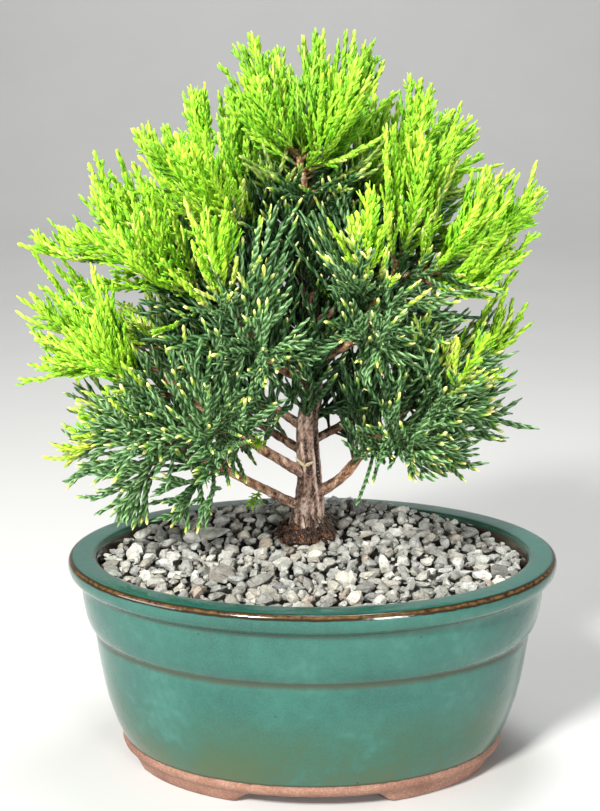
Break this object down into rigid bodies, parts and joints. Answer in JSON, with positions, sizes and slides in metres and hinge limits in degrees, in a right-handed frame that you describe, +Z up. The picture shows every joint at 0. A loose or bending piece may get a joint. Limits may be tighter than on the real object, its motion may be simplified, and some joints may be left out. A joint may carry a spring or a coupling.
{
  "type": "potted juniper bonsai",
  "caption": "Small juniper bonsai with golden tips over dark green foliage, planted under gravel in an oval green glazed pot on low feet.",
  "frame": {"origin": "bottom centre of the whole object's bounding box, on the plane that the pot's feet stand on", "axes": "+Z up along the trunk, +X to the right along the pot's long side as seen from the front, -Y towards the front of the tree"},
  "size_m": [0.2278, 0.1804, 0.3049],
  "materials": {
    "glazed_pot": "gloss",
    "screen": "matte",
    "soil": "matte",
    "gravel": "matte",
    "bark": "matte",
    "gold_foliage": "satin",
    "green_foliage": "satin"
  },
  "bodies": {
    "root": {"drain_screen_left": "screen", "drain_screen_right": "screen", "gravel": "gravel", "pot": "glazed_pot", "soil": "soil", "spray_gold_01": "gold_foliage", "spray_gold_02": "gold_foliage", "spray_gold_03": "gold_foliage", "spray_gold_04": "gold_foliage", "spray_gold_05": "gold_foliage", "spray_gold_06": "gold_foliage", "spray_gold_07": "gold_foliage", "spray_gold_08": "gold_foliage", "spray_gold_09": "gold_foliage", "spray_gold_10": "gold_foliage", "spray_gold_11": "gold_foliage", "spray_gold_12": "gold_foliage", "spray_gold_13": "gold_foliage", "spray_gold_14": "gold_foliage", "spray_gold_15": "gold_foliage", "spray_gold_16": "gold_foliage", "spray_gold_17": "gold_foliage", "spray_gold_18": "gold_foliage", "spray_gold_19": "gold_foliage", "spray_gold_20": "gold_foliage", "spray_gold_21": "gold_foliage", "spray_gold_22": "gold_foliage", "spray_gold_23": "gold_foliage", "spray_gold_24": "gold_foliage", "spray_gold_25": "gold_foliage", "spray_gold_26": "gold_foliage", "spray_gold_27": "gold_foliage", "spray_gold_28": "gold_foliage", "spray_gold_29": "gold_foliage", "spray_gold_30": "gold_foliage", "spray_gold_31": "gold_foliage", "spray_gold_32": "gold_foliage", "spray_gold_33": "gold_foliage", "spray_green_01": "green_foliage", "spray_green_02": "green_foliage", "spray_green_03": "green_foliage", "spray_green_04": "green_foliage", "spray_green_05": "green_foliage", "spray_green_06": "green_foliage", "spray_green_07": "green_foliage", "spray_green_08": "green_foliage", "spray_green_09": "green_foliage", "spray_green_10": "green_foliage", "spray_green_11": "green_foliage", "spray_green_12": "green_foliage", "spray_green_13": "green_foliage", "spray_green_14": "green_foliage", "spray_green_15": "green_foliage", "spray_green_16": "green_foliage", "spray_green_17": "green_foliage", "spray_green_18": "green_foliage", "trunk": "bark"}
  },
  "joints": []
}
